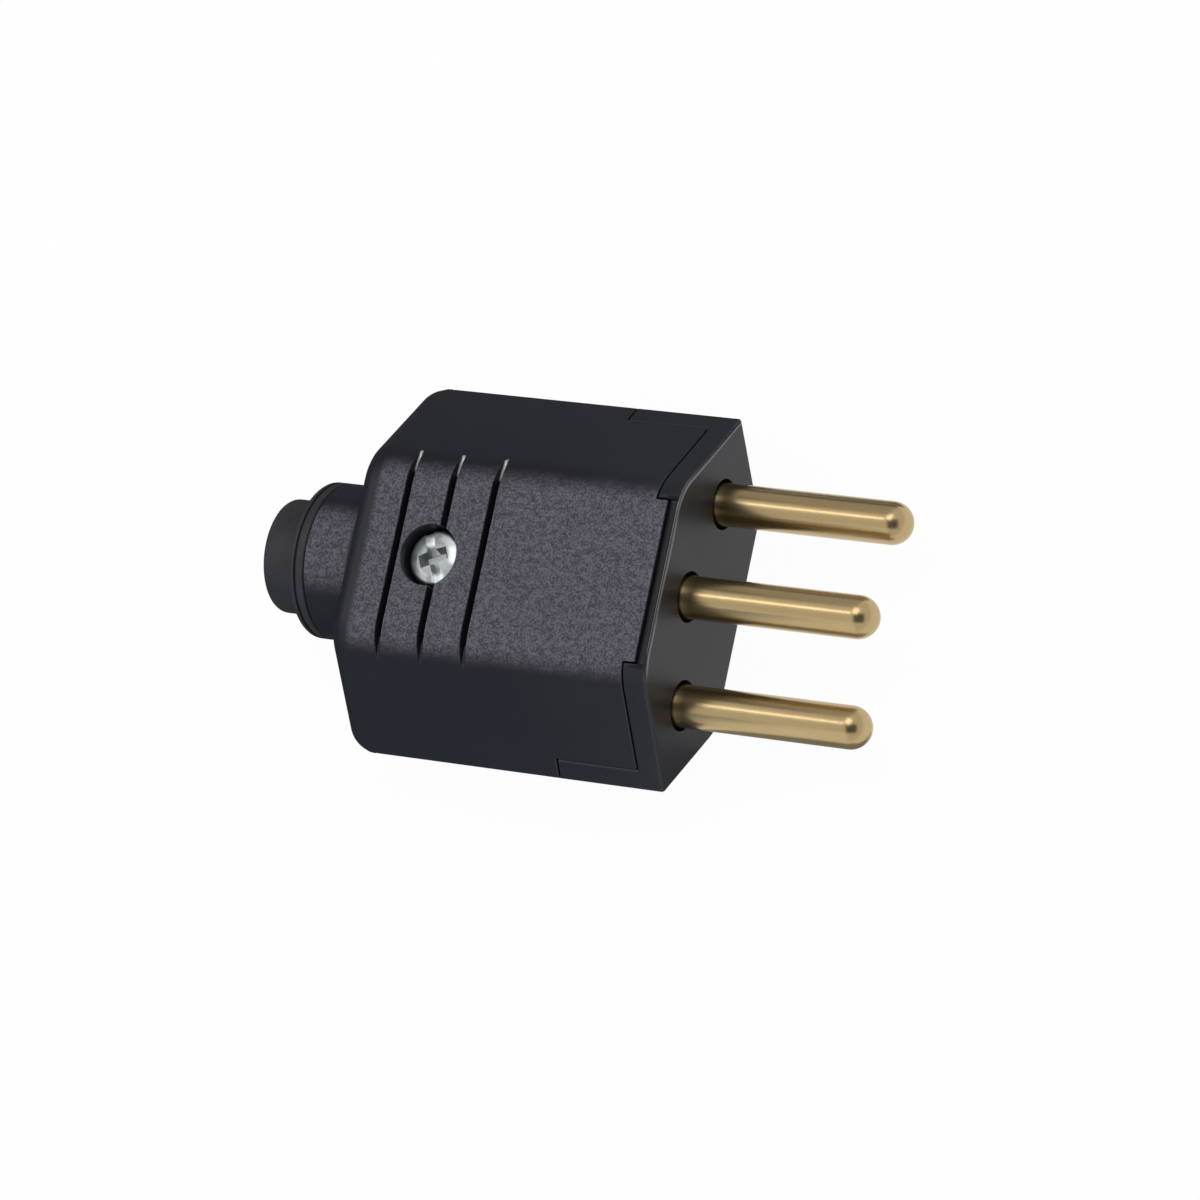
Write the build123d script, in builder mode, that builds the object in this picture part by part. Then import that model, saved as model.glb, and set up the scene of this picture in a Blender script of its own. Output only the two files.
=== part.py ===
from build123d import *
import os

# Rewireable three-pin plug, rated 10 A, that lies on its back. Millimetres.
# The origin is the middle of the pin face, between the live and neutral pins.
# +X runs out along the pins, +Y from the neutral to the live pin, +Z out of the grooved cover.

# Round pins turned on square bar: shank, tapered root and seat in the pin face, wire block behind
pin_diameter = 4.0
pin_length = 19.0
pin_pitch = 19.0
earth_offset = 3.0
seat_diameter = 4.6
seat_sink = 0.8
block_width = 4.8
block_length = 6.9
wire_bore = 2.8
wire_depth = 5.4

# Set screws that hold the wires in the blocks
terminal_diameter = 3.0
terminal_length = 3.0
terminal_inset = 2.8
terminal_stand = 0.8
terminal_slot = 0.6

# Housing: six-sided section, ridged along both sides where its halves part
body_width = 35.3
body_length = 33.5
cover_height = 8.7
back_height = 7.7
cover_flat = 17.2
back_flat = 20.2
shoulder_radius = 5.0
heel_radius = 3.0
rear_radius = 1.8
corner_radius = 3.2
edge_chamfer = 0.2
wall = 2.1
face_thickness = 2.4

# Parting line: ridges of the base beside the cover, and the cover's tab on the pin face
ridge_length = 8.4
ridge_height = 1.3
tab_width = 15.4
tab_setback = 1.3
lip_thickness = 0.35
gutter_depth = 0.6
seam = 0.15
fit_gap = 0.1

# Grip grooves across the cover and the back
groove_setback = 5.45
groove_pitch = 4.5
groove_count = 3
groove_width = 0.7
groove_depth = 1.5
groove_flat = 15.0
groove_run = 15.0
groove_run_angle = 25

# Cover screw and its nut
screw_setback = 9.0
screw_diameter = 3.0
screw_length = 13.0
head_diameter = 5.2
head_height = 1.6
head_chamfer = 0.3
head_sink = 1.0
drive_width = 0.9
drive_length = 3.4
drive_depth = 1.0
drive_turn = -65
recess_diameter = 5.8
boss_diameter = 8.4
nut_width = 5.5
nut_height = 2.4
nut_sink = 0.6

# Inner ribs, and the hooks that hold the cover's front end
rib_thickness = 1.4
cradle_first = 1.0
cradle_pitch = 3.8
partition_thickness = 1.2
partition_length = 12.0
partition_height = 4.5
hook_width = 3.0
hook_thickness = 1.2
hook_reach = 1.2
hook_spread = 11.0

# Neck and the soft grommet that it traps
neck_diameter = 14.8
neck_length = 4.8
tube_diameter = 11.0
bead_diameter = 12.8
bead_width = 1.4
collar_length = 1.5
collar_chamfer = 0.4
sleeve_diameter = 10.8
sleeve_length = 4.1
sleeve_chamfer = 0.3
cord_bore = 8.0

# Cord clamp and its screws
clamp_width = 2.2
clamp_thickness = 1.8
clamp_grip = 7.4
clamp_spread = 16.4
ear_width = 5.8
saddle_width = 11.2
clamp_screw_diameter = 2.9
clamp_screw_length = 6.0
clamp_head_diameter = 5.0
clamp_head_height = 1.6

# Places that several pieces share
live_centre = (pin_pitch / 2, 0)
neutral_centre = (-pin_pitch / 2, 0)
earth_centre = (0, earth_offset)
pin_centres = [live_centre, neutral_centre, earth_centre]
block_end = face_thickness + block_length
roof = cover_height - wall
floor = wall - back_height
inner_rear = body_length - wall
neck_end = body_length + neck_length
collar_end = neck_end + collar_length
sleeve_end = collar_end + sleeve_length
bead_end = inner_rear + bead_width
groove_middle = body_length - groove_setback - groove_pitch * (groove_count - 1) / 2
screw_station = body_length - screw_setback
screw_place = (-screw_station, 0)
recess_floor = cover_height - head_sink - head_height
partition_places = [(-face_thickness, side * pin_pitch / 4) for side in (1, -1)]
hook_places = [(-face_thickness, side * hook_spread / 2) for side in (1, -1)]
hook_bottom = partition_height + fit_gap
clamp_rear = inner_rear - fit_gap
ear_station = clamp_rear - ear_width / 2
ear_places = [(-ear_station, side * clamp_spread / 2) for side in (1, -1)]
outside = 2 * body_width

os.makedirs("parts", exist_ok=True)


def housing_section(inset=0.0):
    """Outline of the closed housing across the pins, drawn in by the inset."""
    with BuildSketch() as section:
        with BuildLine():
            Polyline(
                (-body_width / 2, 0),
                (-cover_flat / 2, cover_height),
                (cover_flat / 2, cover_height),
                (body_width / 2, 0),
                (back_flat / 2, -back_height),
                (-back_flat / 2, -back_height),
                close=True,
            )
        make_face()
        fillet(section.vertices().group_by(Axis.Y)[-1], shoulder_radius)
        fillet(section.vertices().group_by(Axis.Y)[0], heel_radius)
        if inset:
            offset(amount=-inset, kind=Kind.INTERSECTION, mode=Mode.REPLACE)
    return section.sketch


def cover_zone(gap):
    """Space on the cover's side of the parting line, drawn back by the gap."""
    with BuildPart() as zone:
        with BuildSketch(Plane.XZ):
            with BuildLine():
                Polyline(
                    (-outside, 0),
                    (-face_thickness - ridge_length - gap, 0),
                    (-face_thickness - ridge_length - gap, ridge_height + gap),
                    (-face_thickness - gap, ridge_height + gap),
                    (-face_thickness - gap, outside),
                    (-outside, outside),
                    close=True,
                )
            make_face()
        extrude(amount=body_width, both=True)
        with BuildSketch(Plane.XY.offset(roof)):
            with Locations((-tab_setback, 0)):
                Rectangle(wall + face_thickness, tab_width - 2 * gap, align=(Align.MAX, Align.CENTER))
        extrude(amount=outside)
    return zone.part


def grip_grooves(level, outward):
    """Row of bars that cut the grip grooves into a face at the level, with curved ends."""
    with BuildPart() as bars:
        with BuildSketch(Plane.YZ) as run:
            with BuildLine():
                bottom = Line((-groove_flat / 2, -groove_depth), (groove_flat / 2, -groove_depth))
                right = JernArc(bottom @ 1, bottom % 1, groove_run, groove_run_angle)
                left = RadiusArc(bottom @ 0, (-(right @ 1).X, (right @ 1).Y), groove_run)
                Polyline(right @ 1, (body_width, groove_depth), (-body_width, groove_depth), left @ 1)
            make_face()
            if outward < 0:
                mirror(about=Plane.XZ, mode=Mode.REPLACE)
        with Locations((-groove_middle, 0, level)):
            with GridLocations(groove_pitch, 0, groove_count, 1):
                add(extrude(run.sketch, amount=groove_width / 2, both=True, mode=Mode.PRIVATE))
    return bars.part


def contact_pin(across, up):
    """Brass pin on a centre line that lies so far across and up."""
    with BuildPart() as pin:
        with BuildSketch(Plane.XY.offset(up)):
            with BuildLine():
                outline = Polyline(
                    (pin_length - pin_diameter / 2, across + pin_diameter / 2),
                    (0, across + pin_diameter / 2),
                    (-seat_sink, across + seat_diameter / 2),
                    (-face_thickness, across + seat_diameter / 2),
                    (-face_thickness, across),
                    (pin_length, across),
                )
                RadiusArc(outline @ 1, outline @ 0, -pin_diameter / 2)
            make_face()
        revolve(axis=Axis((0, across, up), (1, 0, 0)))
        with BuildSketch(Plane.YZ.offset(-block_end)):
            with Locations((across, up)):
                Rectangle(block_width, block_width)
        extrude(amount=block_length)
        with BuildSketch(Plane.YZ.offset(-block_end)):
            with Locations((across, up)):
                Circle(wire_bore / 2)
        extrude(amount=wire_depth, mode=Mode.SUBTRACT)
        with Locations((-block_end + terminal_inset, across, up + block_width / 2)):
            Hole(radius=(terminal_diameter + fit_gap) / 2, depth=block_width / 2)
    return pin.part


# Whole housing before it is parted: rounded block, neck, inside and grommet seat
with BuildPart() as housing:
    with BuildSketch(Plane.YZ):
        add(housing_section())
    extrude(amount=-body_length)
    fillet(housing.faces().sort_by(Axis.X)[0].edges(), rear_radius)
    with BuildSketch() as plan:
        Rectangle(2 * body_length, body_width)
        fillet(plan.vertices().group_by(Axis.X)[0], corner_radius)
    extrude(amount=outside, both=True, mode=Mode.INTERSECT)
    chamfer(housing.faces().sort_by(Axis.X)[-1].edges(), edge_chamfer)
    with BuildSketch(Plane.YZ.offset(-neck_end)):
        Circle(neck_diameter / 2)
    extrude(amount=neck_length + rear_radius)
    chamfer(housing.edges().group_by(Axis.X)[0], edge_chamfer)
    with BuildSketch(Plane.YZ.offset(-inner_rear)):
        add(housing_section(wall))
    extrude(amount=inner_rear - face_thickness, mode=Mode.SUBTRACT)
    with BuildSketch(Plane.YZ.offset(-neck_end)):
        Circle(tube_diameter / 2 + fit_gap)
    extrude(amount=neck_length + wall, mode=Mode.SUBTRACT)
    with BuildSketch(Plane.YZ.offset(-inner_rear)):
        Circle(bead_diameter / 2 + fit_gap)
    extrude(amount=-bead_width, mode=Mode.SUBTRACT)

# Base: back half with the whole pin face
with BuildPart() as base_shell:
    add(housing.part)
    add(cover_zone(0), mode=Mode.SUBTRACT)
    # Gutter between the cover's tab and the thin lip of the pin face
    with BuildSketch(Plane.XY.offset(cover_height - gutter_depth)):
        with Locations((-lip_thickness, 0)):
            Rectangle(tab_setback - lip_thickness, tab_width, align=(Align.MAX, Align.CENTER))
    extrude(amount=outside, mode=Mode.SUBTRACT)
    # Cradle ribs under the wire blocks, with a tower under the earth one
    for station in (cradle_first, cradle_first + cradle_pitch):
        with BuildSketch(Plane.YZ.offset(-face_thickness - station)):
            add(housing_section(wall / 2))
            Rectangle(outside, outside, align=(Align.CENTER, Align.MIN), mode=Mode.SUBTRACT)
            Rectangle(pin_pitch / 2, earth_offset, align=(Align.CENTER, Align.MIN))
            for across, up in pin_centres:
                with Locations((across, up - block_width / 2)):
                    Rectangle(
                        block_width + 2 * fit_gap,
                        outside,
                        align=(Align.CENTER, Align.MIN),
                        mode=Mode.SUBTRACT,
                    )
        extrude(amount=-rib_thickness)
    # Partitions between the poles
    with BuildSketch(Plane.XY.offset(floor)):
        with Locations(*partition_places):
            Rectangle(partition_length, partition_thickness, align=(Align.MAX, Align.CENTER))
    extrude(amount=partition_height - floor)
    # Screw boss, clamp posts and the saddle for a cord
    with BuildSketch(Plane.XY.offset(floor)):
        with Locations(screw_place):
            Circle(boss_diameter / 2)
        with Locations(*ear_places):
            Rectangle(ear_width, ear_width)
    extrude(amount=-floor)
    with BuildSketch(Plane.YZ.offset(-clamp_rear)):
        Rectangle(saddle_width, -floor, align=(Align.CENTER, Align.MAX))
        Circle(clamp_grip / 2, mode=Mode.SUBTRACT)
    extrude(amount=clamp_width)
    # Holes for the pins, hooks and screws
    with BuildSketch(Plane.YZ):
        with Locations(*pin_centres):
            Circle((seat_diameter + fit_gap) / 2)
    extrude(amount=-face_thickness, mode=Mode.SUBTRACT)
    with BuildSketch(Plane.XY.offset(hook_bottom - fit_gap)):
        with Locations(*hook_places):
            Rectangle(2 * (hook_reach + fit_gap), hook_width + 2 * fit_gap)
    extrude(amount=hook_thickness + 2 * fit_gap, mode=Mode.SUBTRACT)
    with Locations(*ear_places):
        Hole(radius=(clamp_screw_diameter + fit_gap) / 2, depth=clamp_screw_length)
    with Locations(screw_place):
        Hole(radius=screw_diameter / 2 + fit_gap)
    with BuildSketch(Plane.XY.offset(-back_height)):
        with Locations(screw_place):
            RegularPolygon(nut_width / 2 + fit_gap, 6, major_radius=False)
    extrude(amount=nut_height + nut_sink, mode=Mode.SUBTRACT)
    add(grip_grooves(-back_height, -1), mode=Mode.SUBTRACT)
base_shell.part.label = "base_shell"
export_step(base_shell.part, "parts/base_shell.step")

# Cover: grooved half that hooks into the pin face and is pulled down by one screw
with BuildPart() as cover_shell:
    add(housing.part)
    add(cover_zone(seam), mode=Mode.INTERSECT)
    with BuildSketch():
        with Locations(screw_place):
            Circle(boss_diameter / 2)
    extrude(amount=roof)
    # Rib that holds the wire blocks down in their cradles
    with BuildSketch(Plane.YZ.offset(-face_thickness - cradle_first)):
        add(housing_section(wall / 2))
        with Locations((0, ridge_height + seam)):
            Rectangle(outside, outside, align=(Align.CENTER, Align.MAX), mode=Mode.SUBTRACT)
        with Locations((0, hook_bottom)):
            Rectangle(
                pin_pitch / 2 + 2 * partition_thickness,
                outside,
                align=(Align.CENTER, Align.MAX),
                mode=Mode.SUBTRACT,
            )
        for across, up in pin_centres:
            with Locations((across, up + block_width / 2 + fit_gap)):
                Rectangle(
                    block_width + 2 * fit_gap,
                    outside,
                    align=(Align.CENTER, Align.MAX),
                    mode=Mode.SUBTRACT,
                )
    extrude(amount=-rib_thickness)
    # Stops behind the blocks, clear of the wires below them
    with BuildSketch(Plane.YZ.offset(-block_end - fit_gap)):
        for across, up in pin_centres:
            with Locations((across, up + wire_bore / 2 + fit_gap)):
                Rectangle(block_width, outside, align=(Align.CENTER, Align.MIN))
        add(housing_section(wall / 2), mode=Mode.INTERSECT)
    extrude(amount=-rib_thickness)
    # Hooks that reach into the pin face
    with BuildSketch(Plane.XY.offset(hook_bottom)):
        with Locations(*hook_places):
            with Locations((hook_reach, 0)):
                Rectangle(
                    hook_reach + cradle_first + rib_thickness,
                    hook_width,
                    align=(Align.MAX, Align.CENTER),
                )
    extrude(amount=hook_thickness)
    with Locations((-screw_station, 0, cover_height)):
        CounterBoreHole(
            radius=screw_diameter / 2 + fit_gap,
            counter_bore_radius=recess_diameter / 2,
            counter_bore_depth=head_sink + head_height,
        )
    add(grip_grooves(cover_height, 1), mode=Mode.SUBTRACT)
cover_shell.part.label = "cover_shell"
export_step(cover_shell.part, "parts/cover_shell.step")

# Brass pins
live_pin = contact_pin(*live_centre)
live_pin.label = "live_pin"
export_step(live_pin, "parts/live_pin.step")
neutral_pin = contact_pin(*neutral_centre)
neutral_pin.label = "neutral_pin"
export_step(neutral_pin, "parts/neutral_pin.step")
earth_pin = contact_pin(*earth_centre)
earth_pin.label = "earth_pin"
export_step(earth_pin, "parts/earth_pin.step")

# Set screws in the wire blocks
with BuildPart() as terminal_screws:
    for across, up in pin_centres:
        top = up + block_width / 2 + terminal_stand
        with Locations((-block_end + terminal_inset, across, top)):
            Cylinder(
                terminal_diameter / 2,
                terminal_length,
                align=(Align.CENTER, Align.CENTER, Align.MAX),
            )
            Box(terminal_diameter, terminal_slot, 2 * terminal_slot, mode=Mode.SUBTRACT)
terminal_screws.part.label = "terminal_screws"
export_step(terminal_screws.part, "parts/terminal_screws.step")

# Cover screw: pan head with a cross recess and a slot
with BuildPart() as cover_screw:
    with BuildSketch(Plane.XY.offset(recess_floor)):
        with Locations(screw_place):
            Circle(head_diameter / 2)
    extrude(amount=head_height)
    chamfer(cover_screw.edges().group_by(Axis.Z)[-1], head_chamfer)
    with BuildSketch(Plane.XY.offset(recess_floor)):
        with Locations(screw_place):
            Circle(screw_diameter / 2)
    extrude(amount=-screw_length)
    with BuildSketch(Plane.XY.offset(recess_floor + head_height)):
        with Locations(screw_place):
            Rectangle(head_diameter, drive_width, rotation=drive_turn)
            Rectangle(drive_width, drive_length, rotation=drive_turn)
    extrude(amount=-drive_depth, mode=Mode.SUBTRACT)
cover_screw.part.label = "cover_screw"
export_step(cover_screw.part, "parts/cover_screw.step")

# Nut in the pocket of the back
with BuildPart() as cover_nut:
    with BuildSketch(Plane.XY.offset(nut_sink - back_height)):
        with Locations(screw_place):
            RegularPolygon(nut_width / 2, 6, major_radius=False)
            Circle((screw_diameter + fit_gap) / 2, mode=Mode.SUBTRACT)
    extrude(amount=nut_height)
cover_nut.part.label = "cover_nut"
export_step(cover_nut.part, "parts/cover_nut.step")

# Soft grommet: bead inside the rear wall, collar outside the neck, and the sleeve for a cord
with BuildPart() as cable_grommet:
    with BuildSketch():
        with BuildLine():
            Polyline(
                (-inner_rear, cord_bore / 2),
                (-inner_rear, bead_diameter / 2),
                (-bead_end, bead_diameter / 2),
                (-bead_end, tube_diameter / 2),
                (-neck_end, tube_diameter / 2),
                (-neck_end, neck_diameter / 2),
                (-collar_end, neck_diameter / 2),
                (-collar_end, sleeve_diameter / 2),
                (-sleeve_end, sleeve_diameter / 2),
                (-sleeve_end, cord_bore / 2),
                close=True,
            )
        make_face()
    revolve(axis=Axis.X)
    collar = cable_grommet.faces().filter_by(GeomType.CYLINDER).sort_by(SortBy.RADIUS)[-1]
    chamfer(collar.edges().filter_by(GeomType.CIRCLE).sort_by(Axis.X)[0], collar_chamfer)
    chamfer(cable_grommet.edges().group_by(Axis.X)[0].sort_by(SortBy.RADIUS)[-1], sleeve_chamfer)
cable_grommet.part.label = "cable_grommet"
export_step(cable_grommet.part, "parts/cable_grommet.step")

# Cord clamp: arched bar with an ear at each end
with BuildPart() as cord_clamp:
    with BuildSketch(Plane.YZ.offset(-clamp_rear)):
        Circle(clamp_grip / 2 + clamp_thickness)
        Rectangle(outside, outside, align=(Align.CENTER, Align.MAX), mode=Mode.SUBTRACT)
        Rectangle(clamp_spread, clamp_thickness, align=(Align.CENTER, Align.MIN))
        Circle(clamp_grip / 2, mode=Mode.SUBTRACT)
    extrude(amount=clamp_width)
    with BuildSketch():
        with Locations(*ear_places):
            Rectangle(ear_width, ear_width)
    extrude(amount=clamp_thickness)
    with Locations(*ear_places):
        Hole(radius=(clamp_screw_diameter + fit_gap) / 2, depth=clamp_thickness)
cord_clamp.part.label = "cord_clamp"
export_step(cord_clamp.part, "parts/cord_clamp.step")

# Clamp screws
with BuildPart() as clamp_screws:
    with BuildSketch(Plane.XY.offset(clamp_thickness)):
        with Locations(*ear_places):
            Circle(clamp_head_diameter / 2)
    extrude(amount=clamp_head_height)
    with BuildSketch(Plane.XY.offset(clamp_thickness)):
        with Locations(*ear_places):
            Circle(clamp_screw_diameter / 2)
    extrude(amount=-clamp_screw_length)
    with BuildSketch(Plane.XY.offset(clamp_thickness + clamp_head_height)):
        with Locations(*ear_places):
            Rectangle(clamp_head_diameter, drive_width)
    extrude(amount=-clamp_head_height / 2, mode=Mode.SUBTRACT)
clamp_screws.part.label = "clamp_screws"
export_step(clamp_screws.part, "parts/clamp_screws.step")
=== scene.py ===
import math

import bmesh
import bpy
from mathutils import Matrix, Vector
from mathutils.bvhtree import BVHTree


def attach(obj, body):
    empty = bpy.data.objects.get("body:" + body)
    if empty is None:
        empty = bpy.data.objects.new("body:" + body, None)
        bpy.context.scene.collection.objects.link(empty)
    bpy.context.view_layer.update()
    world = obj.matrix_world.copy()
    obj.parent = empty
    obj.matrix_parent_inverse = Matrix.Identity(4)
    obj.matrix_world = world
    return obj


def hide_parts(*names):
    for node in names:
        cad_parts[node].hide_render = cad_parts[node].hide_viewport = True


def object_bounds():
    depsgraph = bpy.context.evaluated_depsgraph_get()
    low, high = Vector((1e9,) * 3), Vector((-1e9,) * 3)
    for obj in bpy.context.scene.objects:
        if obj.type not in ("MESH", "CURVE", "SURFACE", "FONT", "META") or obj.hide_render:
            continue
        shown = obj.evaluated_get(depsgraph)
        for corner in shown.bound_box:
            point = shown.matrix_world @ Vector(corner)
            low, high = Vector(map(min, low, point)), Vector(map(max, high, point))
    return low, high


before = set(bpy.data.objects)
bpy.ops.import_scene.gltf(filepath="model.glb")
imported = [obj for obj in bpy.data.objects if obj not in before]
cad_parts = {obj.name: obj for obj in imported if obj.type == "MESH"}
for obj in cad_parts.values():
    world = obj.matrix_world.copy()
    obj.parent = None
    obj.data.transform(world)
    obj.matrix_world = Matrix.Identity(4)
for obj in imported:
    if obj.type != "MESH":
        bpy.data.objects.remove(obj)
cad_low, cad_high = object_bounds()

# Base half of the housing: the back, the side ridges and the whole pin face, moulded in one piece
# of black thermoplastic. It carries every other piece. The mould leaves its edges a little round,
# its sides satin, the rim of its pin face glossy and its back spark-textured like the cover.
mm = 0.001
edge_radius = 0.12 * mm
sharp_angle = math.radians(28)
flat_angle = math.radians(0.5)
seam_gap = 0.002 * mm
back_level = -7.7 * mm
spark_depth = 0.05 * mm
satin_dark = (0.0100, 0.0112, 0.0155, 1)
satin_pale = (0.0130, 0.0145, 0.0195, 1)
grain_dark = (0.036, 0.034, 0.047, 1)
grain_pale = (0.122, 0.117, 0.145, 1)
# Pale grey painted on the grooves' upper run-outs as a glint
painted_glint_grey = (0.40, 0.40, 0.41, 1)


class Socket:
    """One output in a node tree, so that maths on it reads as a plain expression."""

    def __init__(self, tree, output=None):
        self.tree = tree
        self.output = output

    def node(self, kind, inputs, output=0, **settings):
        """Add a node: its settings first, then the values or links of its sockets."""
        made = self.tree.nodes.new(kind)
        for name, value in settings.items():
            setattr(made, name, value)
        for key, value in inputs.items():
            if isinstance(value, Socket):
                self.tree.links.new(value.output, made.inputs[key])
            else:
                made.inputs[key].default_value = value
        return Socket(self.tree, made.outputs[output] if made.outputs else None)

    def outputs(self, *names):
        """Other outputs of the node that this one comes from."""
        return [Socket(self.tree, self.output.node.outputs[name]) for name in names]

    def math(self, operation, *values):
        return self.node("ShaderNodeMath", dict(enumerate(values)), operation=operation)

    def __add__(self, other):
        return self.math("ADD", self, other)

    def __radd__(self, other):
        return self.math("ADD", other, self)

    def __sub__(self, other):
        return self.math("SUBTRACT", self, other)

    def __rsub__(self, other):
        return self.math("SUBTRACT", other, self)

    def __mul__(self, other):
        return self.math("MULTIPLY", self, other)

    def __rmul__(self, other):
        return self.math("MULTIPLY", other, self)

    def __truediv__(self, other):
        return self.math("DIVIDE", self, other)

    def __rtruediv__(self, other):
        return self.math("DIVIDE", other, self)

    def __mod__(self, other):
        return self.math("MODULO", self, other)

    def __rmod__(self, other):
        return self.math("MODULO", other, self)

    def __pow__(self, other):
        return self.math("POWER", self, other)

    def __rpow__(self, other):
        return self.math("POWER", other, self)

    def __abs__(self):
        return self.math("ABSOLUTE", self)

    def larger(self, other):
        return self.math("MAXIMUM", self, other)

    def ramp(self, low, high):
        """Nought below the low value, one above the high one, and smooth between."""
        inputs = {"Value": self, "From Min": low, "From Max": high}
        return self.node("ShaderNodeMapRange", inputs, interpolation_type="SMOOTHSTEP")

    def blend(self, first, second):
        """Colour that goes from the first to the second as this value goes from 0 to 1."""
        inputs = {0: self, 6: first, 7: second}
        return self.node("ShaderNodeMix", inputs, 2, data_type="RGBA")

    def noise(self, scale, detail=2.0):
        """Soft noise from 0 to 1 over this vector, at so many blobs in a metre."""
        inputs = {"Vector": self, "Scale": scale, "Detail": detail}
        return self.node("ShaderNodeTexNoise", inputs)

    def axes(self):
        """The three parts of this vector."""
        return self.node("ShaderNodeSeparateXYZ", {0: self}).outputs("X", "Y", "Z")


def new_finish(name):
    """Empty material, with a socket to build its shader tree from and its Object coordinates."""
    finish = bpy.data.materials.new(name)
    finish.use_nodes = True
    finish.node_tree.nodes.clear()
    tree = Socket(finish.node_tree)
    return finish, tree, tree.node("ShaderNodeTexCoord", {}, "Object")


def close_finish(tree, height, depth, inputs):
    """End a shader tree in one surface, roughened by a height map of that depth."""
    relief = {"Strength": 1.0, "Distance": depth, "Height": height}
    surface = dict(inputs, Normal=tree.node("ShaderNodeBump", relief))
    shader = tree.node("ShaderNodeBsdfPrincipled", surface)
    tree.node("ShaderNodeOutputMaterial", {"Surface": shader})


def close_moulding(tree, place, textured, edge_gloss=0.1, polish_and_glint=None):
    """End a shader tree in black moulding: spark texture, or polish with a painted glint, where
    told; satin elsewhere.
    """
    pits = place.noise(4200, 3.0)
    specks = 0.7 * place.noise(5200, 2.0) + 0.3 * place.noise(1700, 2.0)
    clouds = place.noise(160, 3.0)
    satin = place.noise(1500, 4.0)
    edge = tree.node("ShaderNodeAttribute", {}, "Fac", attribute_name="rounded_edge")
    smooth_colour = clouds.blend(satin_dark, satin_pale)
    grain_colour = specks.ramp(0.36, 0.66).blend(grain_dark, grain_pale)
    colour = textured.blend(smooth_colour, grain_colour)
    gloss = edge * edge_gloss
    if polish_and_glint is not None:
        # Pale grey painted where told, as a glint
        colour = polish_and_glint.blend(colour, painted_glint_grey)
        gloss = gloss.larger(polish_and_glint)
    close_finish(
        tree,
        textured * pits + (1 - textured) * (0.12 * satin),
        spark_depth,
        {
            "Base Color": colour,
            "Roughness": 0.40 + 0.16 * textured + 0.06 * clouds,
            "Specular IOR Level": 0.3,
            "Coat Weight": gloss,
            "Coat Roughness": 0.15,
            "Coat IOR": 2.0,
        },
    )


def place_piece(name, form, finish, slot, *nodes):
    """New piece with that form and finish, which stands for those CAD nodes."""
    mesh = bpy.data.meshes.new(name)
    form.to_mesh(mesh)
    form.free()
    mesh.materials.append(finish)
    piece = bpy.data.objects.new(name, mesh)
    bpy.context.scene.collection.objects.link(piece)
    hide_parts(*nodes)
    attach(piece, "root")
    return piece


def softened(node, radius):
    """Form of a CAD node, with every sharp edge rounded by that radius."""
    form = bmesh.new()
    form.from_mesh(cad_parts[node].data)
    bmesh.ops.remove_doubles(form, verts=form.verts, dist=seam_gap)
    skin = BVHTree.FromBMesh(form)
    bmesh.ops.dissolve_limit(form, angle_limit=flat_angle, verts=form.verts, edges=form.edges)
    sharp = [edge for edge in form.edges if edge.calc_face_angle(0) > sharp_angle]
    mark = form.faces.layers.float.new("rounded_edge")
    made = bmesh.ops.bevel(
        form,
        geom=sharp,
        offset=radius,
        offset_type="OFFSET",
        segments=2,
        profile=0.5,
        affect="EDGES",
        clamp_overlap=False,
        loop_slide=True,
    )
    for face in made["faces"]:
        face[mark] = 1.0
    # A corner that the rounding throws off the form goes back to it
    for corner in form.verts:
        nearest, _, _, gap = skin.find_nearest(corner.co)
        if gap > radius / 2:
            corner.co = nearest
    for face in form.faces:
        face.smooth = True
    return form


def even_shading(piece):
    """Keep the large faces of a rounded piece flat to the eye."""
    shading = piece.modifiers.new("even_shading", "WEIGHTED_NORMAL")
    shading.weight = 100


base_finish, tree, place = new_finish("black_moulding_of_base")
along, across, up = place.axes()
on_back = 1 - up.ramp(back_level + 0.02 * mm, back_level + 0.12 * mm)
top_rim = up.ramp(5.8 * mm, 6.2 * mm) * across.ramp(-9.5 * mm, -8.0 * mm)
live_side_rim = (up + across).ramp(14.5 * mm, 15.5 * mm)
on_face_rim = along.ramp(-0.3 * mm, -0.2 * mm) * top_rim.larger(live_side_rim)
close_moulding(tree, place, on_back, 0.1 + 0.9 * on_face_rim)
base_form = softened("base_shell", edge_radius)
base = place_piece("base_moulding", base_form, base_finish, "housing", "base_shell")
even_shading(base)

# Three contact pins: brass bar, turned down to a round shank with a domed tip, and left square at
# the back, where a bore takes the wire. They lie in the base's cradles, the earth one higher.
pin_radius = 2.0 * mm
pin_end = 19.0 * mm
tip_steps = 14
seat_radius = 2.3 * mm
seat_front = -0.8 * mm
seat_rounding = 0.05 * mm
block_front = -2.4 * mm
block_back = -9.3 * mm
block_half = 2.4 * mm
block_rounding = 0.15 * mm
block_overlap = 0.3 * mm
bore_radius = 1.4 * mm
bore_end = -3.9 * mm
pole_count = 3
pole_spacing = 9.5 * mm
earth_rise = 3.0 * mm
set_screw_station = -6.5 * mm
set_screw_hole = 1.55 * mm
brass_dull = (0.475, 0.350, 0.170, 1)
brass_bright = (0.545, 0.415, 0.222, 1)
crease_angle = 35
lie_along = Matrix.Rotation(math.radians(90), 4, "Y")


def rounded(corners, steps=4):
    """Points of an outline of (height, radius, rounding) corners, each corner rounded off."""
    points = []
    for index, (height, radius, rounding) in enumerate(corners):
        here = Vector((height, radius))
        if not rounding:
            points.append(here)
            continue
        before = Vector(corners[index - 1][:2])
        after = Vector(corners[(index + 1) % len(corners)][:2])
        start = here + (before - here).normalized() * rounding
        end = here + (after - here).normalized() * rounding
        for step in range(steps + 1):
            part = step / steps
            points.append(start.lerp(here, part).lerp(here.lerp(end, part), part))
    return [tuple(point) for point in points]


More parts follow.
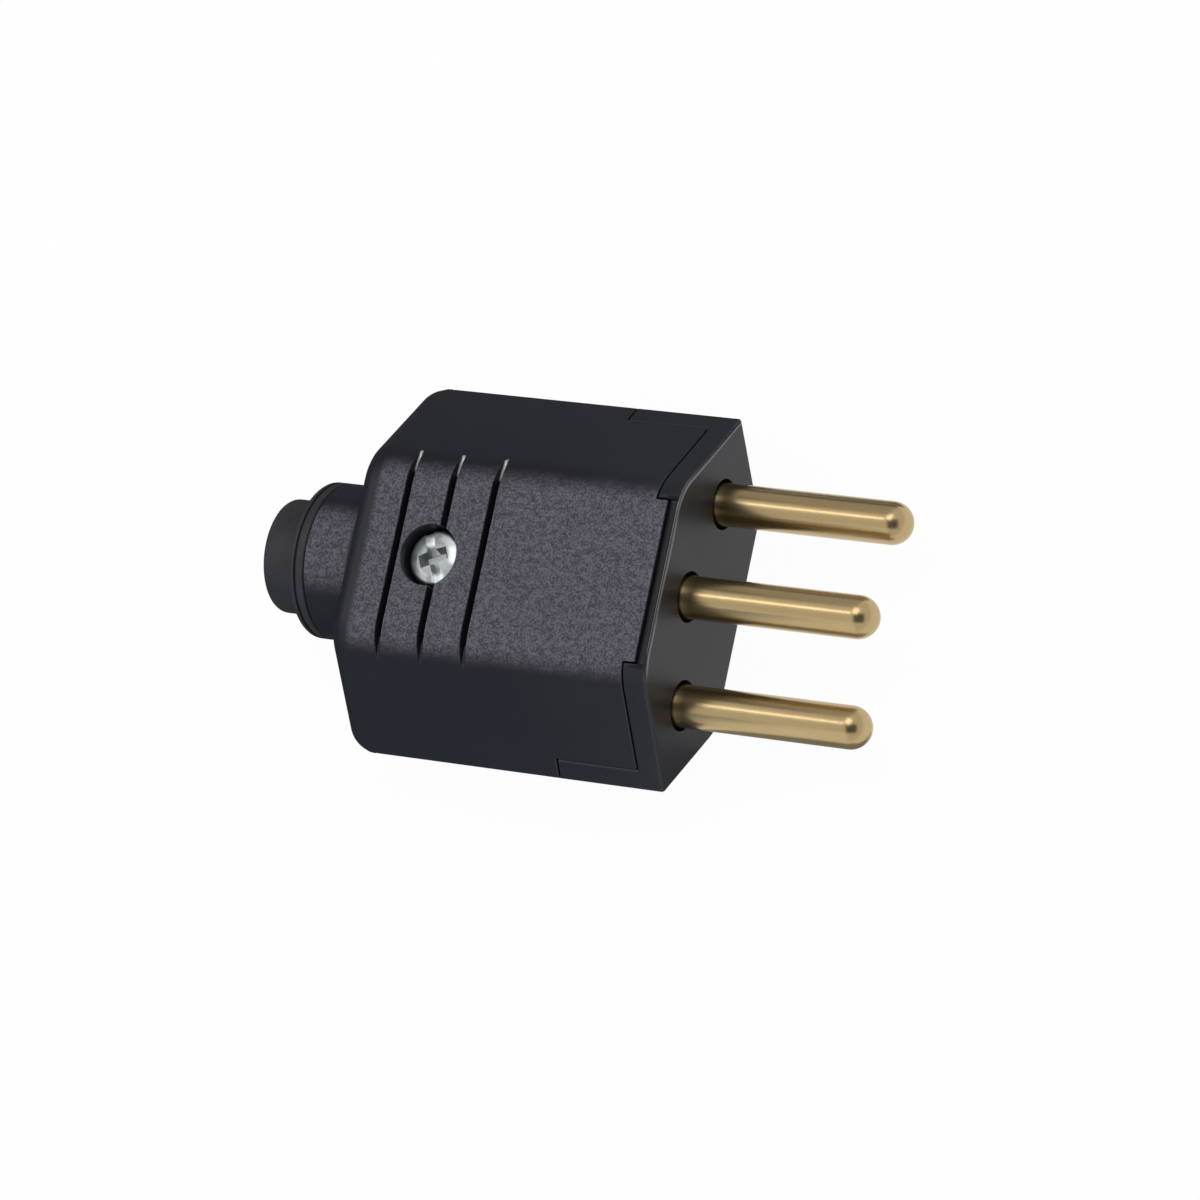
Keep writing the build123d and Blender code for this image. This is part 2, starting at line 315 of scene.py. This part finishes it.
def turned(points, segments=64, closed=False, reach=None):
    """Form turned about Z from points of height and radius.

    reach(angle, height, radius) gives another radius where the form isn't round.
    """
    form = bmesh.new()
    rings = []
    for height, radius in points:
        ring = []
        for step in range(segments if radius else 1):
            angle = math.tau * step / segments
            far = reach(angle, height, radius) if reach and radius else radius
            ring.append(form.verts.new((far * math.cos(angle), far * math.sin(angle), height)))
        rings.append(ring)
    for low, high in zip(rings, rings[1:] + rings[:1] if closed else rings[1:]):
        for step in range(segments):
            after = (step + 1) % segments
            sides = [
                low[step % len(low)],
                low[after % len(low)],
                high[after % len(high)],
                high[step % len(high)],
            ]
            form.faces.new(list(dict.fromkeys(sides)))
    bmesh.ops.recalc_face_normals(form, faces=form.faces)
    return form


def block(low, high):
    """Square-edged block between two corners."""
    form = bmesh.new()
    bmesh.ops.create_cube(form, size=1.0)
    size = Vector(high) - Vector(low)
    bmesh.ops.scale(form, vec=size, verts=form.verts)
    bmesh.ops.translate(form, vec=Vector(low) + size / 2, verts=form.verts)
    return form


def rod(radius, low, high):
    """Plain round rod along Z."""
    return turned([(low, 0), (low, radius), (high, radius), (high, 0)], 48)


def as_object(form, name):
    """Object of that form, for the modifiers that shape it."""
    mesh = bpy.data.meshes.new(name)
    form.to_mesh(mesh)
    form.free()
    made = bpy.data.objects.new(name, mesh)
    bpy.context.scene.collection.objects.link(made)
    return made


def shaped(made):
    """Form of an object after its modifiers."""
    graph = bpy.context.evaluated_depsgraph_get()
    result = bpy.data.meshes.new_from_object(made.evaluated_get(graph))
    form = bmesh.new()
    form.from_mesh(result)
    bpy.data.meshes.remove(result)
    return form


def worked(form, *steps):
    """Form after other forms were joined to it or cut out of it, one after another."""
    blank = as_object(form, "worked")
    tools = []
    for operation, tool_form in steps:
        tool = as_object(tool_form, "tool")
        cut = blank.modifiers.new("cut", "BOOLEAN")
        cut.operation = operation
        cut.solver = "EXACT"
        cut.object = tool
        tools.append(tool)
    done = shaped(blank)
    for spent in [blank] + tools:
        bpy.data.objects.remove(spent)
    bmesh.ops.remove_doubles(done, verts=done.verts, dist=seam_gap / 2)
    bmesh.ops.recalc_face_normals(done, faces=done.faces)
    return done


def smooth_by_angle(form, degrees):
    """Shade a form smooth, but for edges sharper than that angle."""
    for face in form.faces:
        face.smooth = True
    for edge in form.edges:
        edge.smooth = edge.calc_face_angle(0) < math.radians(degrees)


def pole_row():
    """Tree that sets copies of a form in a row across the plug, the middle one raised."""
    tree = bpy.data.node_groups.new("pole_row", "GeometryNodeTree")
    kinds = {
        "Geometry": "NodeSocketGeometry",
        "Count": "NodeSocketInt",
        "Spacing": "NodeSocketFloat",
        "Middle rise": "NodeSocketFloat",
        "Finish": "NodeSocketMaterial",
    }
    for name, kind in kinds.items():
        tree.interface.new_socket(name, in_out="INPUT", socket_type=kind)
    tree.interface.new_socket("Geometry", in_out="OUTPUT", socket_type="NodeSocketGeometry")
    row = Socket(tree)
    form, count, spacing, rise, finish = row.node("NodeGroupInput", {}).outputs(*kinds)
    last = count - 1
    start = row.node("ShaderNodeCombineXYZ", {"Y": last * spacing * -0.5})
    pitch = row.node("ShaderNodeCombineXYZ", {"Y": spacing})
    line = {"Count": count, "Start Location": start, "Offset": pitch}
    points = row.node("GeometryNodeMeshLine", line)
    in_middle = row.math("COMPARE", 2 * row.node("GeometryNodeInputIndex", {}), last, 0.1)
    lift = row.node("ShaderNodeCombineXYZ", {"Z": in_middle * rise})
    places = row.node("GeometryNodeSetPosition", {"Geometry": points, "Offset": lift})
    copies = row.node("GeometryNodeInstanceOnPoints", {"Points": places, "Instance": form})
    solid = row.node("GeometryNodeRealizeInstances", {"Geometry": copies})
    coated = row.node("GeometryNodeSetMaterial", {"Geometry": solid, "Material": finish})
    row.node("NodeGroupOutput", {"Geometry": coated})
    return tree


def in_row(form, tree, count, spacing, middle_rise, finish):
    """Form of so many copies in a row across the plug."""
    copy = as_object(form, "copy")
    row = copy.modifiers.new("row", "NODES")
    row.node_group = tree
    values = {"Count": count, "Spacing": spacing, "Middle rise": middle_rise, "Finish": finish}
    for item in tree.interface.items_tree:
        if item.in_out == "INPUT" and item.name in values:
            row[item.identifier] = values[item.name]
    done = shaped(copy)
    bpy.data.objects.remove(copy)
    return done


shank = rounded([
    (block_front - block_overlap, 0, 0),
    (block_front - block_overlap, seat_radius, 0),
    (seat_front, seat_radius, seat_rounding),
    (0, pin_radius, 0),
])
shank += [(station * mm, pin_radius) for station in (1, 5, 9, 13)]
for step in range(tip_steps):
    turn = math.radians(90 * step / tip_steps)
    station = pin_end - pin_radius + pin_radius * math.sin(turn)
    shank.append((station, pin_radius * math.cos(turn)))
shank_form = turned(shank + [(pin_end, 0)], 72)
shank_form.transform(lie_along)
square = block((block_back, -block_half, -block_half), (block_front, block_half, block_half))
bmesh.ops.bevel(
    square, geom=square.edges[:], offset=block_rounding, segments=2, profile=0.5, affect="EDGES"
)
wire_bore = rod(bore_radius, block_back - 1 * mm, bore_end)
wire_bore.transform(lie_along)
screw_hole = rod(set_screw_hole, 0, 2 * block_half)
screw_hole.transform(Matrix.Translation((set_screw_station, 0, 0)))
pin_steps = [("UNION", shank_form), ("DIFFERENCE", wire_bore), ("DIFFERENCE", screw_hole)]
pin_form = worked(square, *pin_steps)
smooth_by_angle(pin_form, crease_angle)

brass, tree, place = new_finish("turned_brass")
along = place.axes()[0]
stretched = tree.node("ShaderNodeMapping", {0: place, 3: (40, 2600, 2600)})
drawn = stretched.noise(1.0)
turning = {"W": along * 5200, "Scale": 1.0}
lathe_marks = tree.node("ShaderNodeTexNoise", turning, noise_dimensions="1D")
tarnish = place.noise(260, 3.0)
close_finish(
    tree,
    drawn + 0.4 * lathe_marks,
    0.0015 * mm,
    {
        "Base Color": tarnish.blend(brass_dull, brass_bright),
        "Metallic": 1.0,
        "Roughness": 0.20 + 0.10 * drawn,
    },
)
rows = pole_row()
pins = in_row(pin_form, rows, pole_count, pole_spacing, earth_rise, brass)
place_piece("contact_pins", pins, brass, "brass", "live_pin", "neutral_pin", "earth_pin")

# Set screws of the wire blocks: zinc-plated steel, threaded all the way and slotted at the top.
# One screws down into each block, where it would press a wire's strands against the bore.
set_screw_radius = 1.5 * mm
set_screw_top = 3.2 * mm
set_screw_bottom = 0.2 * mm
set_screw_pitch = 0.5 * mm
set_screw_chamfer = 0.25 * mm
set_screw_slot = 0.6 * mm
plate_dull = (0.56, 0.60, 0.60, 1)
plate_bright = (0.82, 0.85, 0.86, 1)
# Grey of soil and painted shade on the cover screw's head
soil_and_shade_grey = (0.36, 0.39, 0.39, 1)


def threaded(low, high, radius, pitch, end):
    """Points and reach of a round bar with a thread of that pitch, its lower end chamfered."""
    depth = 0.3 * pitch
    rows = max(2, round(6 * (high - low) / pitch))
    points = [(low, 0), (low, radius - end)]
    points += [(low + end + (high - low - end) * row / rows, radius) for row in range(rows + 1)]

    def reach(angle, height, far):
        turn = (height / pitch - angle / math.tau) % 1
        on_thread = low + end / 2 < height < high - 0.01 * mm and far == radius
        return far - depth * abs(2 * turn - 1) if on_thread else far

    return points, reach


def close_zinc(tree, place, soil_and_shade_mask=None):
    """End a shader tree in bright zinc plate, dulled grey where told, by soil and painted shade.
    """
    crystals = place.noise(1500, 3.0)
    colour = crystals.blend(plate_dull, plate_bright)
    roughness = 0.24 + 0.12 * crystals
    if soil_and_shade_mask is not None:
        soil_and_shade_share = soil_and_shade_mask * (1 - 0.45 * place.noise(3000, 2.0))
        colour = soil_and_shade_share.blend(colour, soil_and_shade_grey)
        roughness = roughness + 0.18 * soil_and_shade_share
    surface = {"Base Color": colour, "Metallic": 1.0, "Roughness": roughness}
    close_finish(tree, crystals, 0.030 * mm, surface)


zinc, tree, place = new_finish("bright_zinc_plate")
close_zinc(tree, place)
points, reach = threaded(
    set_screw_bottom, set_screw_top, set_screw_radius, set_screw_pitch, set_screw_chamfer
)
set_screw = turned(points + [(set_screw_top, 0)], 40, reach=reach)
bmesh.ops.triangulate(set_screw, faces=set_screw.faces)
slot_low = (-2 * mm, -set_screw_slot / 2, set_screw_top - set_screw_slot)
slot_high = (2 * mm, set_screw_slot / 2, 4 * mm)
set_screw = worked(set_screw, ("DIFFERENCE", block(slot_low, slot_high)))
set_screw.transform(Matrix.Translation((set_screw_station, 0, 0)))
smooth_by_angle(set_screw, crease_angle)
set_screws = in_row(set_screw, rows, pole_count, pole_spacing, earth_rise, zinc)
place_piece("set_screws", set_screws, zinc, "zinc_steel", "terminal_screws")

# Cord grommet: one soft moulding of black PVC. Its bead sits inside the rear wall, its collar
# covers the neck's end, and a cord would leave through its sleeve.
soft_dark = (0.021, 0.022, 0.026, 1)
soft_pale = (0.058, 0.0585, 0.068, 1)
# Station, radius and rounding of each corner in millimetres, from the bead to the sleeve's end
grommet_corners = [
    (-31.4, 4.0, 0.2),
    (-31.4, 6.4, 0.3),
    (-32.8, 6.4, 0.3),
    (-32.8, 5.5, 0.1),
    (-38.3, 5.5, 0.1),
    (-38.3, 7.4, 0.18),
    (-39.05, 7.4, 0.06),
    (-39.05, 7.1, 0.06),
    (-39.30, 7.1, 0.06),
    (-39.30, 7.4, 0.06),
    (-39.8, 7.4, 0.30),
    (-39.8, 5.4, 0.15),
    (-43.9, 5.4, 0.4),
    (-43.9, 4.0, 0.3),
]
grommet_outline = rounded([tuple(size * mm for size in corner) for corner in grommet_corners])
grommet_form = turned(grommet_outline, 112, closed=True)
grommet_form.transform(lie_along)
smooth_by_angle(grommet_form, 60)
soft_black, tree, place = new_finish("soft_black_sleeve")
bloom = place.noise(420, 4.0)
skin = place.noise(5200, 2.0)
close_finish(
    tree,
    skin,
    0.006 * mm,
    {
        "Base Color": (bloom * skin).blend(soft_dark, soft_pale),
        "Roughness": 0.46 + 0.14 * bloom,
        "Specular IOR Level": 0.3,
    },
)
place_piece("cord_grommet", grommet_form, soft_black, "grommet", "cable_grommet")

# Cord clamp: moulded bar that would press a cord's jacket onto the base's saddle, and the two
# slotted self-tapping screws that hold it down.
clamp_top = 1.8 * mm
clamp_screw_station = -28.4 * mm
clamp_screw_spacing = 16.4 * mm
clamp_screw_length = 6.0 * mm
clamp_screw_radius = 1.45 * mm
clamp_screw_pitch = 1.0 * mm
clamp_screw_point = 0.8 * mm
clamp_head_radius = 2.5 * mm
clamp_head_height = 1.6 * mm
clamp_head_rounding = 0.35 * mm
clamp_slot_half = 0.45 * mm
clamp_slot_floor = 0.8 * mm
clamp_finish, tree, place = new_finish("black_moulding_of_clamp")
up = place.axes()[2]
close_moulding(tree, place, 0.3 * up.ramp(clamp_top - 0.1 * mm, clamp_top))
clamp_form = softened("cord_clamp", edge_radius)
clamp = place_piece("clamp_bar", clamp_form, clamp_finish, "housing", "cord_clamp")
even_shading(clamp)
points, reach = threaded(
    -clamp_screw_length, 0.0, clamp_screw_radius, clamp_screw_pitch, clamp_screw_point
)
points += rounded([
    (0.0, clamp_head_radius, 0),
    (clamp_head_height, clamp_head_radius, clamp_head_rounding),
    (clamp_head_height, 0, 0),
])
clamp_screw = turned(points, 48, reach=reach)
slot_low = (-3 * mm, -clamp_slot_half, clamp_slot_floor)
slot_high = (3 * mm, clamp_slot_half, 2 * mm)
clamp_screw = worked(clamp_screw, ("DIFFERENCE", block(slot_low, slot_high)))
clamp_screw.transform(Matrix.Translation((clamp_screw_station, 0, clamp_top)))
smooth_by_angle(clamp_screw, crease_angle)
clamp_pair = in_row(clamp_screw, rows, 2, clamp_screw_spacing, 0.0, zinc)
place_piece("clamp_screw_pair", clamp_pair, zinc, "zinc_steel", "clamp_screws")

# Cover half of the housing: black moulding that hooks into the pin face, with grip grooves, a
# recess for its screw and half of the neck. Its flat is spark-textured as far as the shoulders,
# and the neck's top is grained too, its paleness there partly a painted sheen. The grooves' floor
# is polished where it runs out on the upper shoulder, and painted pale grey there as a glint.
cover_level = 8.7 * mm
shoulder_start = 6.59 * mm
shoulder_radius = 5.0 * mm
texture_rear = -31.2 * mm
neck_start = -33.5 * mm
rear_groove_wall = -28.4 * mm
groove_pitch = 4.5 * mm
groove_width = 0.7 * mm
groove_floor = 7.2 * mm
groove_flat_end = 7.5 * mm
groove_end = 9.95 * mm
groove_run = 15.0 * mm
taper_share = 0.68
run_out_start = 8.0 * mm
run_out_end = 9.85 * mm
run_out_climb = 0.25 * mm
run_out_rise = 0.05 * mm
run_out_cuts = 6
least_depth = 0.03 * mm
surface_gap = 0.02 * mm
cover_finish, tree, place = new_finish("black_moulding_of_cover")
along, across, up = place.axes()
past_flat = (abs(across) - shoulder_start).larger(0)
drop = shoulder_radius - (shoulder_radius ** 2 - past_flat * past_flat).larger(0) ** 0.5
depth = cover_level - drop - up
on_outside = 1 - depth.ramp(0.08 * mm, 0.25 * mm)
in_groove = depth.ramp(0.02 * mm, 0.05 * mm) * up.ramp(6.8 * mm, 6.9 * mm)
at_floor = 1 - up.ramp(7.53 * mm, 7.60 * mm)
past_edge = along - (rear_groove_wall - 0.3 * mm)
clear_of_front = 1 - (past_edge % groove_pitch).ramp(0.90 * mm, 1.00 * mm)
among_grooves = clear_of_front * past_edge.ramp(0.0, 0.1 * mm)
on_upper_end = across.ramp(run_out_start - 0.3 * mm, run_out_start)
# Groove floor running out on the upper shoulder: coat polish and a pale painted glint
run_out_polish_and_glint = in_groove * at_floor * among_grooves * on_upper_end
wander = across + 0.8 * mm * place.noise(700) - 0.4 * mm
upper_fade = 1 - wander.ramp(6.9 * mm, 9.3 * mm)
lower_fade = 1 - (0 - wander).ramp(7.8 * mm, 9.8 * mm)
rear_fade = along.ramp(texture_rear - 0.4 * mm, texture_rear + 0.4 * mm)
# Grain on the neck's top only: partly real grain, partly a painted sheen where light falls
neck_grain_and_sheen = (1 - along.ramp(neck_start - 0.4 * mm, neck_start)) * up.ramp(5.8 * mm, 7.2 * mm)
textured = on_outside * upper_fade * lower_fade * rear_fade + neck_grain_and_sheen
close_moulding(tree, place, textured, polish_and_glint=run_out_polish_and_glint)
cover_form = softened("cover_shell", edge_radius)
# Near both ends the grooves grow narrow, and their floor climbs to a gentle run-out
for step in range(run_out_cuts):
    for side in (1, -1):
        level = side * (run_out_start + (run_out_end - run_out_start) * step / run_out_cuts)
        bmesh.ops.bisect_plane(
            cover_form,
            geom=cover_form.verts[:] + cover_form.edges[:] + cover_form.faces[:],
            dist=0.0001 * mm,
            plane_co=(0, level, 0),
            plane_no=(0, 1, 0),
        )
for corner in cover_form.verts:
    off_middle = abs(corner.co.y)
    past_first = corner.co.x - (rear_groove_wall + groove_width / 2)
    from_groove = (past_first + groove_pitch / 2) % groove_pitch - groove_pitch / 2
    in_span = -groove_width < past_first < 2 * groove_pitch + groove_width
    near_end = groove_flat_end < off_middle < groove_end + 0.1 * mm
    over_floor = corner.co.z > groove_floor - 0.05 * mm
    if not (in_span and near_end and over_floor) or abs(from_groove) > groove_width:
        continue
    past_flat_end = off_middle - groove_flat_end
    part = min(1, past_flat_end / (groove_end - groove_flat_end))
    corner.co.x -= from_groove * taper_share * part ** 2
    round_shoulder = math.sqrt(shoulder_radius ** 2 - (off_middle - shoulder_start) ** 2)
    surface = cover_level - shoulder_radius + round_shoulder
    old_depth = surface - groove_floor - past_flat_end ** 2 / (2 * groove_run)
    climb = min(1, past_flat_end / (run_out_start - groove_flat_end))
    rise = max(0, (off_middle - run_out_start) / (run_out_end - run_out_start))
    new_depth = surface - groove_floor - run_out_climb * climb - run_out_rise * rise
    below = surface - corner.co.z
    if below > surface_gap and old_depth > surface_gap:
        corner.co.z = surface - below * max(new_depth, least_depth) / old_depth
cover = place_piece("cover_moulding", cover_form, cover_finish, "housing", "cover_shell")
even_shading(cover)

# Cover screw: zinc-plated steel, cold-headed with a slot across a cross recess, thread rolled.
# It draws the cover onto the base. Its head is dulled grey by soil and painted shade, fully in the
# recess, and two sectors of its rim and the slot's ends stay bright as painted highlights.
screw_station = -24.5 * mm
screw_tip = -6.9 * mm
screw_radius = 1.5 * mm
screw_pitch = 0.5 * mm
screw_chamfer = 0.35 * mm
thread_end = 5.6 * mm
head_seat = 6.1 * mm
head_top = 7.7 * mm
head_radius = 2.6 * mm
head_rounding = 0.35 * mm
crown_rise = 0.32 * mm
crown_radius = head_radius - head_rounding
crown_steps = 6
drive_half = 0.45 * mm
drive_floor = 6.7 * mm
cross_half = 1.7 * mm
cross_flare = 0.75 * mm
drive_turn = math.radians(-65)
highlight_turn = math.radians(36)
points, reach = threaded(screw_tip, thread_end, screw_radius, screw_pitch, screw_chamfer)
head = rounded([
    (head_seat, screw_radius, 0),
    (head_seat, head_radius, 0.1 * mm),
    (head_top - crown_rise, head_radius, head_rounding),
    (head_top - crown_rise, 0, 0),
])
points += head[:-1]
for step in reversed(range(crown_steps)):
    part = step / crown_steps
    points.append((head_top - crown_rise * part ** 2, crown_radius * part))
screw = turned(points, 64, reach=reach)
slot_form = block((-4 * mm, -drive_half, drive_floor), (4 * mm, drive_half, 9 * mm))
cross_low = (-cross_flare, -cross_half, drive_floor - 0.05 * mm)
cross_form = block(cross_low, (cross_flare, cross_half, head_top + 0.3 * mm))
for corner in cross_form.verts:
    if corner.co.z < head_top:
        corner.co.x *= 0.4
        corner.co.y *= 0.55
screw = worked(screw, ("DIFFERENCE", slot_form), ("DIFFERENCE", cross_form))
screw_place = Matrix.Translation((screw_station, 0, 0))
screw.transform(screw_place @ Matrix.Rotation(drive_turn, 4, "Z"))
smooth_by_angle(screw, crease_angle)
screw_finish, tree, place = new_finish("bright_zinc_plate_of_cover_screw")
along, across, up = place.axes()
from_axis = along - screw_station
off_axis = (from_axis ** 2 + across ** 2) ** 0.5


def toward(turn):
    """Cosine of the angle round the head between a point and that turn, squared."""
    cosine = (from_axis * math.cos(turn) + across * math.sin(turn)) / off_axis
    return cosine * cosine


crown = head_top - (crown_rise / crown_radius ** 2) * (off_axis * off_axis)
# Painted shade fills the recess; two rim sectors and the slot's ends are painted highlights
in_recess = (crown - up).ramp(0.08 * mm, 0.25 * mm) * (1 - off_axis.ramp(1.1 * mm, 1.6 * mm))
painted_rim_highlight = off_axis.ramp(1.45 * mm, 1.85 * mm) * toward(highlight_turn).ramp(0.35, 0.65)
painted_slot_glint = off_axis.ramp(1.1 * mm, 1.5 * mm) * toward(drive_turn).ramp(0.86, 0.93)
on_head = up.ramp(6.5 * mm, 6.6 * mm)
# Elsewhere the head is dulled grey, partly soil and partly painted shade
soil_and_painted_shade = (1 - painted_rim_highlight.larger(painted_slot_glint)).larger(1.25 * in_recess) * on_head
close_zinc(tree, place, soil_and_painted_shade)
place_piece("cover_pan_screw", screw, screw_finish, "zinc_steel", "cover_screw")

# Nut: hexagon of zinc-plated steel, chamfered at both faces and tapped through. A pocket in the
# back keeps it from turning while the cover screw pulls on it.
nut_low = -7.1 * mm
nut_high = -4.7 * mm
nut_flat = 2.75 * mm
nut_hole = 1.55 * mm
nut_mouth = 0.25 * mm
nut_crown = 2.68 * mm
nut_slope = math.tan(math.radians(30))


def six_sided(angle, height, far):
    """Distance of a hexagon's side at that angle, for the points beyond the crown."""
    return nut_flat / math.cos(angle % (math.tau / 6) - math.tau / 12) if far > nut_crown else far


nut_points = [
    (nut_low, nut_hole + nut_mouth),
    (nut_low + nut_mouth, nut_hole),
    (nut_high - nut_mouth, nut_hole),
    (nut_high, nut_hole + nut_mouth),
    (nut_high, nut_crown),
    (nut_high, nut_flat),
    (nut_low, nut_flat),
    (nut_low, nut_crown),
]
nut = turned(nut_points, 72, closed=True, reach=six_sided)
for corner in nut.verts:
    chamfer = max(0, math.hypot(corner.co.x, corner.co.y) - nut_crown) * nut_slope
    corner.co.z = min(max(corner.co.z, nut_low + chamfer), nut_high - chamfer)
nut.transform(screw_place)
smooth_by_angle(nut, 25)
place_piece("cover_hex_nut", nut, zinc, "zinc_steel", "cover_nut")

# Studio: pale floor under the plug, a long overhead light, a smaller one in front and pale
# surroundings. Glowing cards, dark and pale, round the plug and about the camera are no lamps:
# they show only in reflections, as painted reflections.
floor_level = cad_low.z - 0.02 * mm
floor_reach = 1.5
background_share = 0.965
surround_level = 0.77
floor_mesh = bpy.data.meshes.new("floor")
floor_corners = [
    (x * floor_reach, y * floor_reach, floor_level)
    for x, y in [(-1, -1), (1, -1), (1, 1), (-1, 1)]
]
floor_mesh.from_pydata(floor_corners, [], [(0, 1, 2, 3)])
floor = bpy.data.objects.new("floor", floor_mesh)
bpy.context.scene.collection.objects.link(floor)
floor_finish, tree, _ = new_finish("pale_floor")
path = tree.node("ShaderNodeLightPath", {})
camera_ray, glossy_ray, clear_ray = path.outputs(
    "Is Camera Ray", "Is Glossy Ray", "Is Transmission Ray"
)
matt = tree.node("ShaderNodeBsdfDiffuse", {"Color": (0.86, 0.86, 0.86, 1)})
glow = tree.node("ShaderNodeEmission", {"Color": (1, 1, 1, 1), "Strength": 1.0})
share = background_share * (camera_ray + glossy_ray + clear_ray)
mixed = tree.node("ShaderNodeMixShader", {0: share, 1: matt, 2: glow})
tree.node("ShaderNodeOutputMaterial", {"Surface": mixed})
floor_mesh.materials.append(floor_finish)

world = bpy.data.worlds.new("studio")
world.use_nodes = True
world.node_tree.nodes.clear()
tree = Socket(world.node_tree)
sky = tree.node("ShaderNodeBackground", {"Color": (1, 1, 1, 1), "Strength": surround_level})
tree.node("ShaderNodeOutputWorld", {"Surface": sky})
bpy.context.scene.world = world

# Each light's place, the way that its back faces, its length and width in metres, and its watts
lamps = {
    "overhead_strip": ((-0.52, 0.060, 0.53), (0.0, 0.0, 1.0), 0.72, 0.075, 0.50),
    "front_box": ((0.072, 0.198, 0.561), (0.072, 0.198, 0.561), 0.30, 0.36, 0.54),
}
for name, (lamp_place, away, length, width, watts) in lamps.items():
    lamp = bpy.data.lights.new(name, "AREA")
    lamp.shape = "RECTANGLE"
    lamp.size = length
    lamp.size_y = width
    lamp.energy = watts
    lamp_object = bpy.data.objects.new(name, lamp)
    lamp_object.location = lamp_place
    lamp_object.rotation_mode = "QUATERNION"
    lamp_object.rotation_quaternion = Vector(away).to_track_quat("Z", "Y")
    bpy.context.scene.collection.objects.link(lamp_object)


def upright(side, ends, low, high):
    """Corners of an upright card that runs along X at that Y."""
    rear, front = ends
    return [(rear, side, low), (front, side, low), (front, side, high), (rear, side, high)]


def flat(ends, sides):
    """Corners of a card that lies just over the floor."""
    rear, front = ends
    near, far = sides
    level = cad_low.z + 0.1 * mm
    return [(rear, near, level), (front, near, level), (front, far, level), (rear, far, level)]


image_right = Vector((0.87797532, 0.20261356, -0.43371313))
image_up = Vector((-0.10536813, 0.96558592, 0.23778432))
image_back = Vector((0.46696562, -0.16306922, 0.86910963))
camera_card = 0.62 * image_back
beyond, before, behind = 40 * mm, -45 * mm, -75 * mm
behind_top = 35 * mm
# Each card's glowing colour and its sheets
cards = {
    "card_low_beyond": ((0.42, 0.42, 0.44, 1), [
        upright(beyond, (behind, 22 * mm), cad_low.z, -1 * mm),
    ]),
    "card_beyond": ((0.12, 0.12, 0.13, 1), [
        upright(beyond, (behind, -21 * mm), -1 * mm, 60 * mm),
        upright(beyond, (-21 * mm, 22 * mm), -1 * mm, 6 * mm),
        flat((-34 * mm, -2 * mm), (19 * mm, beyond)),
        flat((-2 * mm, 22 * mm), (24 * mm, beyond)),
    ]),
    "card_over_beyond": ((0.50, 0.50, 0.50, 1), [
        upright(beyond, (-21 * mm, 22 * mm), 6 * mm, 60 * mm),
    ]),
    "card_before": ((0.22, 0.29, 0.38, 1), [
        upright(before, (behind, -15 * mm), cad_low.z, 40 * mm),
        flat((-34 * mm, -15 * mm), (before, -19 * mm)),
    ]),
    "card_far_before": ((1.0, 1.0, 1.0, 1), [
        upright(4 * before, (2.5 * behind, 22 * mm), -20 * mm, 200 * mm),
    ]),
    "card_in_front": ((0.66, 0.66, 0.66, 1), [
        flat((-2 * mm, 24 * mm), (-12 * mm, -9 * mm)),
    ]),
    "card_low_in_front": ((0.30, 0.30, 0.30, 1), [
        flat((-2 * mm, 24 * mm), (before, -12 * mm)),
    ]),
    "card_behind": ((0.11, 0.11, 0.12, 1), [
        flat((behind, -34 * mm), (before, beyond)),
        [
            (behind, before, cad_low.z),
            (behind, beyond, cad_low.z),
            (behind, beyond, behind_top),
            (behind, before, behind_top),
        ],
    ]),
    "card_about_camera": ((0.10, 0.10, 0.10, 1), [
        [
            camera_card + x * image_right + y * image_up
            for x, y in [(-0.34, -0.34), (0.34, -0.34), (0.34, 0.20), (-0.34, 0.20)]
        ],
    ]),
}
for name, (colour, sheets) in cards.items():
    card_finish, tree, _ = new_finish(name)
    card_glow = tree.node("ShaderNodeEmission", {"Color": colour, "Strength": 1.0})
    tree.node("ShaderNodeOutputMaterial", {"Surface": card_glow})
    card_mesh = bpy.data.meshes.new(name)
    corners = [corner for sheet in sheets for corner in sheet]
    faces = [tuple(range(first, first + 4)) for first in range(0, len(corners), 4)]
    card_mesh.from_pydata(corners, [], faces)
    card_mesh.materials.append(card_finish)
    card = bpy.data.objects.new(name, card_mesh)
    card.visible_camera = False
    card.visible_diffuse = False
    card.visible_transmission = False
    card.visible_shadow = False
    bpy.context.scene.collection.objects.link(card)

# Camera at the photograph's place, with its long lens. It stands in front of the pins and over
# the cover, and looks down on both.
camera = bpy.data.objects.new("camera", bpy.data.cameras.new("camera"))
camera.data.sensor_width = 36.0
camera.data.lens = 182.37
camera.data.clip_start = 0.01
camera.data.clip_end = 10.0
camera_turn = Matrix((image_right, image_up, image_back)).transposed().to_4x4()
camera.matrix_world = Matrix.Translation((0.2502286, -0.0917873, 0.4854901)) @ camera_turn
bpy.context.scene.collection.objects.link(camera)
bpy.context.scene.camera = camera
bpy.context.scene.view_settings.view_transform = "Standard"

bpy.context.view_layer.update()
